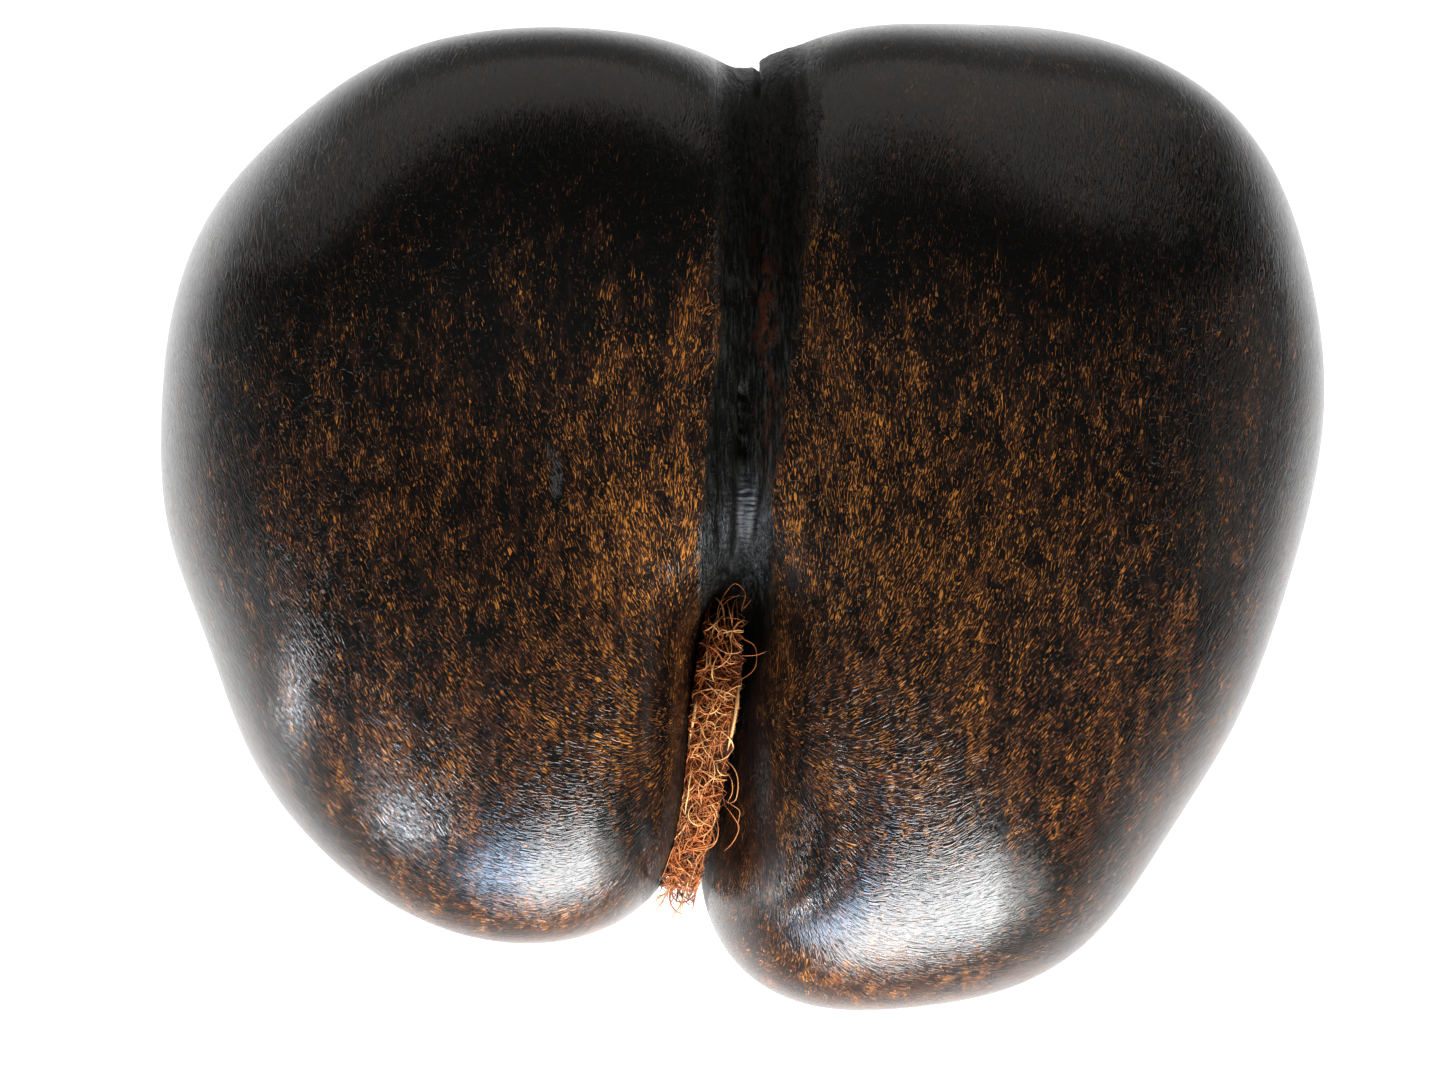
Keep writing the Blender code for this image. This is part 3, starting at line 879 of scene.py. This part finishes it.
@dataclass
class Tuft:
    """The tuft of dry fibre in the slit between the lobes."""

    node: str = "fibre_tuft"
    top_y: float = -26 * MM
    end_y: float = -91.5 * MM
    line_y: Row = (-99, -85, -70, -49, -36, -24)
    line_x: Row = (-17.0, -13.8, -10.0, -6.8, -5.2, -3.6)
    half_widths: Row = (4.8, 4.5, 5.0, 5.9, 5.4, 4.4)
    depth: float = 26 * MM
    crest_y: float = -50 * MM
    crest_z: float = 135.6 * MM
    fall: float = 7.8
    sides: int = 24
    sections: int = 40
    gap: float = 0.35 * MM
    end_taper: float = 0.6
    end_bluntness: float = 9
    squareness: float = 2 / 3
    mat_below: float = 1.0 * MM
    lump_length: float = 4 * MM
    lumps_across: float = 2
    lump_width: float = 0.15
    lump_height: float = 0.7
    tip: float = 0.25
    taper: float = 3
    thickness: Pair = (0.07, 0.2)
    bends_at: Row = (0.25, 0.5, 0.75, 1.0)
    tries: int = 3
    seed: int = 5
    walls: BVHTree | None = None
    wander: Wander = field(default_factory=Wander)
    shade: FibreShade = field(default_factory=FibreShade)
    finish: FibreFinish = field(default_factory=FibreFinish)
    strands: tuple[Strands, ...] = (
        Strands(Lie.TANGLED, 340, (6, 17), (0.15, 0.75)),
        Strands(Lie.STRAIGHT, 340, (4, 11), (0.12,)),
        Strands(Lie.LENGTHWISE, 110, (7, 18), (0.2,), (3, 26), (-0.1, 0.24)),
        Strands(Lie.FRAYED, 60, (2.5, 5.5), (0.4,), (0, 7), (0, 0.5)),
    )
    placed: tuple[Placed, ...] = (
        Placed(((-10.9, -44.5, 1.5), (-11.6, -50, 2.0), (-12.9, -56.5, 1.4)), 0.42, 1.0),
        Placed(((-0.6, -41.5, 1.0), (-1.2, -47, 2.2), (-2.0, -52, 2.2), (-3.4, -58, 1.0)), 0.4, 0.9),
        Placed(((-4, -60, 1), (-1.6, -62.5, 3), (-0.8, -66, 3), (-1.4, -70, 2), (-3.2, -71, 0.5)), 0.13, 0.7),
        Placed(((-4.6, -63, 1), (-2.6, -64.5, 3), (-2.2, -68, 3), (-3.6, -71, 1)), 0.12, 0.65),
        Placed(((-4.4, -71, 1), (-2, -74, 3), (-0.6, -77, 3), (-2, -80.5, 3), (-4.2, -83, 2)), 0.15, 0.6),
        Placed(((-4.2, -70, 1), (-1.8, -71.5, 3), (-0.4, -72.8, 3.5), (-0.9, -76, 3.4)), 0.11, 0.65),
        Placed(
            ((-6.2, -74, 2), (-5.6, -78, 3.4), (-7.0, -81.5, 3.5), (-10.5, -82.3, 3.5))
            + ((-14.5, -81.2, 3), (-18.5, -83.5, 2.5), (-20.6, -88, 1)),
            0.17,
            0.62,
        ),
        Placed(
            ((-7.8, -76, 2), (-6.6, -80.5, 3.4), (-10, -81.8, 3.6), (-14, -82.6, 3.4), (-17.4, -84.4, 2.5)),
            0.15,
            0.55,
        ),
        Placed(((-2.2, -29, 1), (0.8, -31, 3), (3.4, -33, 3), (3.2, -38, 2.4), (-0.5, -41, 1.6)), 0.1, 0.5),
        Placed(((-0.5, -35, 1), (3.5, -34.8, 3), (6.2, -33.8, 3.2)), 0.09, 0.6),
        Placed(
            ((-5.4, -23, 1), (-4.0, -20, 3), (-1.5, -17.5, 3), (1.0, -20, 3), (0.0, -24, 2), (2.4, -21.5, 3)),
            0.1,
            0.6,
        ),
        Placed(((-6.8, -20.5, 1), (-4.6, -23, 2), (-4.0, -28, 2)), 0.22, 0.85),
        Placed(((-8.0, -32, 1), (-6.6, -28, 2), (-5.2, -24, 1.6)), 0.3, 0.85),
    )

    def middle_x(self, y: float) -> float:
        """Where the tuft's middle runs at the height y."""
        return float(np.interp(y / MM, self.line_y, self.line_x)) * MM

    def half_width(self, y: float) -> float:
        """Half the tuft's width at the height y."""
        return float(np.interp(y / MM, self.line_y, self.half_widths)) * MM

    def front_z(self, y: float) -> float:
        """The height of the tuft's front at the height y."""
        return self.crest_z - self.fall * (y - self.crest_y) ** 2

    def kept_clear(self, point: Vector, room: float) -> Vector:
        """The point, moved out of the shell until it has that room."""
        for _ in range(self.tries):
            near, normal, _, _ = self.walls.find_nearest(point)
            if near is None:
                return point
            outside = (point - near).dot(normal)
            if outside >= room:
                return point
            point = point + normal * (room - outside)
        return point

    def mat(self) -> bpy.types.Mesh:
        """The matted bar below the fibres."""
        bm = bmesh.new()
        bmesh.ops.create_cone(bm, segments=self.sides, radius1=1, radius2=1, depth=1, cap_ends=True)
        lengthwise = [e for e in bm.edges if abs(e.verts[0].co.z - e.verts[1].co.z) > 0.5]
        bmesh.ops.subdivide_edges(bm, edges=lengthwise, cuts=self.sections - 1)
        for vertex in bm.verts:
            y = self.top_y + (self.end_y - self.top_y) * (vertex.co.z + 0.5)
            size = 1 - self.end_taper * abs(2 * vertex.co.z) ** self.end_bluntness
            side, up = (size * math.copysign(abs(c) ** self.squareness, c) for c in vertex.co.xy)
            place = Vector((side * self.lumps_across, y / self.lump_length, up * self.lumps_across))
            lump = noise.noise(place)
            x = self.middle_x(y) + side * self.half_width(y) * (1 + self.lump_width * lump)
            z = self.front_z(y) - self.mat_below + (up - 1) * self.depth / 2
            vertex.co = self.kept_clear(Vector((x, y, z + lump * self.lump_height * MM)), self.gap)
        return mesh_of(bm, "mat")

    def fibre_points(self, rng: random.Random, group: Strands) -> list[Vector]:
        """One fibre's points.

        Args:
            rng: The source of its random draws.
            group: The group that it belongs to.

        Returns:
            The points that it follows.
        """
        wander = self.wander
        share = rng.random() ** wander.crowding
        if group.above_end is None:
            y = self.top_y + (self.end_y - self.top_y) * share
            heading = rng.uniform(0, math.tau)
        else:
            y = self.end_y + rng.uniform(*group.above_end) * MM
            heading = DOWNWARD + rng.gauss(*group.lean)
        step = rng.uniform(*group.length) * MM / (wander.corners - 1)
        curl = rng.uniform(*group.curl) if group.lie is Lie.TANGLED else group.curl[0]
        x = self.middle_x(y) + rng.uniform(*wander.sideways) * self.half_width(y)
        above = rng.uniform(*wander.height) * MM
        turn = rng.gauss(0, curl)
        bulge = rng.uniform(*wander.bulge) * MM
        points = []
        for number in range(wander.corners):
            side = min(1.0, abs(x - self.middle_x(y)) / (self.half_width(y) * wander.side_room))
            rounding = (1 - math.sqrt(max(0.0, 1 - side**3))) * wander.side_fall * MM
            arch = math.sin(math.pi * number / (wander.corners - 1)) * bulge
            z = self.front_z(max(y, self.end_y - wander.past_end)) + above + arch - rounding
            points.append(self.kept_clear(Vector((x, y, z)), self.gap))
            turn += rng.gauss(0, curl * wander.turn_change)
            turn = max(-wander.sharpest_turn, min(wander.sharpest_turn, turn))
            heading += turn * wander.turn_share
            x += math.cos(heading) * step
            y += math.sin(heading) * step
            over = abs(x - self.middle_x(y)) - self.half_width(y)
            held = over > 0 and group.lie is not Lie.FRAYED
            if held and (over > wander.loosest or rng.random() < wander.turned_back):
                x -= math.copysign(over, x - self.middle_x(y))
                heading = math.pi - heading + rng.gauss(0, wander.scatter)
            y = min(y, self.top_y + wander.past_top)
        return points

    def fibre_shade(self, rng: random.Random, points: list[Vector]) -> float:
        """How pale one fibre is, from 0 to 1."""
        shade = self.shade
        height = max(point.z - self.front_z(point.y) for point in points) / MM
        up = max(0.0, min(1.0, (points[0].y - self.end_y) / shade.end_length))
        # Lower fibres are darker and higher ones paler: painted shade and light by height.
        pale = shade.base + shade.up_the_tuft * up + shade.painted_light_by_height * height + rng.gauss(0, shade.scatter)
        return min(1.0, max(shade.darkest, pale))

    def tubes(self, rng: random.Random) -> tuple[bpy.types.Mesh, np.ndarray]:
        """All the fibres as thin tapered tubes.

        Args:
            rng: The source of the random draws.

        Returns:
            The tubes' mesh, and each vertex's shade.
        """
        curve = bpy.data.curves.new("fibres", "CURVE")
        curve.dimensions = "3D"
        curve.bevel_depth = MM
        curve.bevel_resolution = 0
        shades = []
        for group in self.strands:
            for _ in range(group.count):
                points = self.fibre_points(rng, group)
                thickness = rng.uniform(*self.thickness)
                shade = self.fibre_shade(rng, points)
                self.add_spline(curve, points, thickness)
                shades += [shade] * len(points) * RING
        for fibre in self.placed:
            points = self.placed_points(fibre)
            self.add_spline(curve, points, fibre.radius)
            shades += [fibre.shade] * len(points) * RING
        holder = add_object("fibres", curve)
        mesh = evaluated_mesh(holder)
        bpy.data.objects.remove(holder)
        if len(mesh.vertices) != len(shades):
            raise ValueError(f"{len(mesh.vertices)} vertices for {len(shades)} shades")
        return mesh, np.array(shades)

    def placed_points(self, fibre: Placed) -> list[Vector]:
        """The points of a single placed fibre, clear of the shell."""
        corners = [Vector((x * MM, y * MM, self.front_z(y * MM) + up * MM)) for x, y, up in fibre.line]
        return [self.kept_clear(point, self.gap + fibre.radius * MM) for point in self.rounded(corners)]

    def rounded(self, points: list[Vector]) -> list[Vector]:
        """A finer line through the points, rounded at the corners."""
        line = [points[0]]
        for number in range(len(points) - 1):
            before = points[max(0, number - 1)]
            start, end = points[number], points[number + 1]
            after = points[min(len(points) - 1, number + 2)]
            for t in self.bends_at:
                straight = 2 * start + (end - before) * t
                bent = (2 * before - 5 * start + 4 * end - after) * t * t
                twisted = (3 * start - before - 3 * end + after) * t**3
                line.append(0.5 * (straight + bent + twisted))
        return line

    def add_spline(self, curve: bpy.types.Curve, points: list[Vector], radius: float) -> None:
        """Adds one fibre to the curve, thin at both ends."""
        spline = curve.splines.new("POLY")
        spline.points.add(len(points) - 1)
        last = len(points) - 1
        for number, (control, point) in enumerate(zip(spline.points, points)):
            control.co = (*point, 1)
            room = self.tip + self.taper * min(number, last - number) / last
            control.radius = radius * min(1.0, room)

    def build(self, shell: bpy.types.Object) -> bpy.types.Object:
        """Builds the tuft.

        Args:
            shell: The nut's skin, which the fibres stay clear of.

        Returns:
            The tuft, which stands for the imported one.
        """
        bm = bmesh_of(shell.data)
        self.walls = BVHTree.FromBMesh(bm)
        bm.free()
        rng = random.Random(self.seed)
        mat = self.mat()
        tubes, shades = self.tubes(rng)
        # The mat gets a dark tone that paints the shade under the fibres.
        paint(mat, "shade", np.full(len(mat.vertices), self.shade.mat))
        paint(tubes, "shade", shades)
        mesh = mesh_of(bmesh_of(mat, tubes), "coir_tuft")
        mesh.shade_smooth()
        mesh.materials.clear()
        mesh.materials.append(self.finish.material())
        made = add_object("coir_tuft", mesh)
        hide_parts(self.node)
        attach(made, "root")
        return made


@dataclass(frozen=True)
class Window:
    """A soft rectangular light that looks at the nut.

    The azimuth runs from +Y towards +X and the elevation up from the horizon, both in degrees.
    """

    name: str
    azimuth: float
    elevation: float
    size: Pair
    watts: float
    colour: Colour

    def way(self) -> Vector:
        """The direction from the nut to the light."""
        a, e = math.radians(self.azimuth), math.radians(self.elevation)
        return Vector((math.sin(a) * math.cos(e), math.cos(a) * math.cos(e), math.sin(e)))


@dataclass
class Studio:
    """The pale floor, the soft light and the camera."""

    target: Vector = field(default_factory=lambda: Vector((0, 0, 0.08)))
    lens: float = 86.8
    sensor: float = 36
    clip: Pair = (0.01, 20)
    floor_half: float = 2.5
    floor_colour: Colour = (0.9, 0.9, 0.9)
    room_light: float = 0.045
    distance: float = 1.3
    pool_size: Pair = (0.85, 0.42)
    pool_spread: float = math.radians(14)
    pool_height: float = 1.3
    pool_watts: float = 2.1
    glow: float = 0.8
    glow_angle: float = math.radians(60)
    windows: tuple[Window, ...] = (
        Window("window", 175, 21.5, (0.8, 0.95), 53, (0.98, 0.99, 1.0)),
        Window("window_side", 152, 13, (0.5, 0.6), 5.7, (1.0, 0.99, 0.97)),
        Window("blue_pane", 201, 21, (0.34, 0.45), 13, (0.56, 0.74, 1.0)),
        Window("small_pane", 224, 18, (0.11, 0.13), 4.5, (0.85, 0.92, 1.0)),
        Window("side_pane", 246, 0.5, (0.14, 0.2), 3.4, (0.9, 0.94, 1.0)),
        Window("far_side", -6, 14, (2.4, 0.9), 5.3, (1.0, 0.94, 0.87)),
        Window("right_wall", 88, 11, (1.0, 0.3), 0.75, (1.0, 0.94, 0.86)),
        Window("left_wall", -90, 9, (1.0, 0.25), 0.3, (1.0, 0.97, 0.93)),
    )

    def floor(self) -> bpy.types.Object:
        """Makes the large plain floor that the nut lies on."""
        bm = bmesh.new()
        bmesh.ops.create_grid(bm, x_segments=2, y_segments=2, size=self.floor_half)
        mesh = mesh_of(bm, "floor")
        graph = Graph("floor")
        graph.feed(graph.shader.inputs["Base Color"], self.floor_colour)
        graph.shader.inputs["Roughness"].default_value = 1.0
        graph.shader.inputs["Specular IOR Level"].default_value = 0.0
        mesh.materials.append(graph.material)
        made = add_object("floor", mesh)
        return made

    def area(self, name: str, size: Pair, watts: float, receivers: Receivers) -> bpy.types.Object:
        """A rectangular light, still at the origin, which lights only its receivers."""
        light = bpy.data.lights.new(name, "AREA")
        light.shape = "RECTANGLE"
        light.size, light.size_y = size
        light.energy = watts
        made = add_object(name, light)
        made.light_linking.receiver_collection = receivers
        return made

    def add_window(self, window: Window, receivers: Receivers) -> None:
        """Puts a window in its place, where it lights only its receivers."""
        made = self.area(window.name, window.size, window.watts, receivers)
        made.data.color = window.colour
        made.location = self.target + window.way() * self.distance
        made.rotation_euler = window.way().to_track_quat("Z", "Y").to_euler()

    def pool(self, receivers: Receivers) -> None:
        """A soft-edged pool of light from above."""
        made = self.area("pool", self.pool_size, self.pool_watts, receivers)
        made.data.spread = self.pool_spread
        made.location = (0, 0, self.pool_height)

    def floor_glow(self, receivers: Receivers) -> None:
        """A weak even light from above, which keeps the far floor pale."""
        light = bpy.data.lights.new("floor_glow", "SUN")
        light.energy = self.glow
        light.angle = self.glow_angle
        made = add_object("floor_glow", light)
        made.light_linking.receiver_collection = receivers

    def world(self) -> None:
        """A dim even room."""
        world = bpy.data.worlds.new("room")
        bpy.context.scene.world = world
        world.use_nodes = True
        room = world.node_tree.nodes["Background"]
        room.inputs["Color"].default_value = (1, 1, 1, 1)
        room.inputs["Strength"].default_value = self.room_light

    def build(self, pieces: list[bpy.types.Object]) -> None:
        """Sets up the floor, the lights, the world and the camera.

        Args:
            pieces: The object's pieces, which the windows light.
        """
        lit_by_windows = bpy.data.collections.new("lit_by_windows")
        for piece in pieces:
            lit_by_windows.objects.link(piece)
        lit_from_above = bpy.data.collections.new("lit_from_above")
        lit_from_above.objects.link(self.floor())
        self.world()
        for window in self.windows:
            self.add_window(window, lit_by_windows)
        self.pool(lit_from_above)
        self.floor_glow(lit_from_above)
        camera = bpy.data.cameras.new("camera")
        camera.lens = self.lens
        camera.sensor_width = self.sensor
        camera.clip_start, camera.clip_end = self.clip
        made = add_object("camera", camera)
        made.location = CAMERA_AT
        bpy.context.scene.camera = made
        bpy.context.scene.view_settings.view_transform = "Standard"


def main() -> None:
    """Builds every piece in order, and reports each."""
    logging.basicConfig(level=logging.INFO, format="%(message)s")
    shell = Shell().build()
    LOG.info("%s: %d faces", shell.name, len(shell.data.polygons))
    tuft = Tuft().build(shell)
    LOG.info("%s: %d faces", tuft.name, len(tuft.data.polygons))
    Studio().build([shell, tuft])


if __name__ == "__main__":
    main()
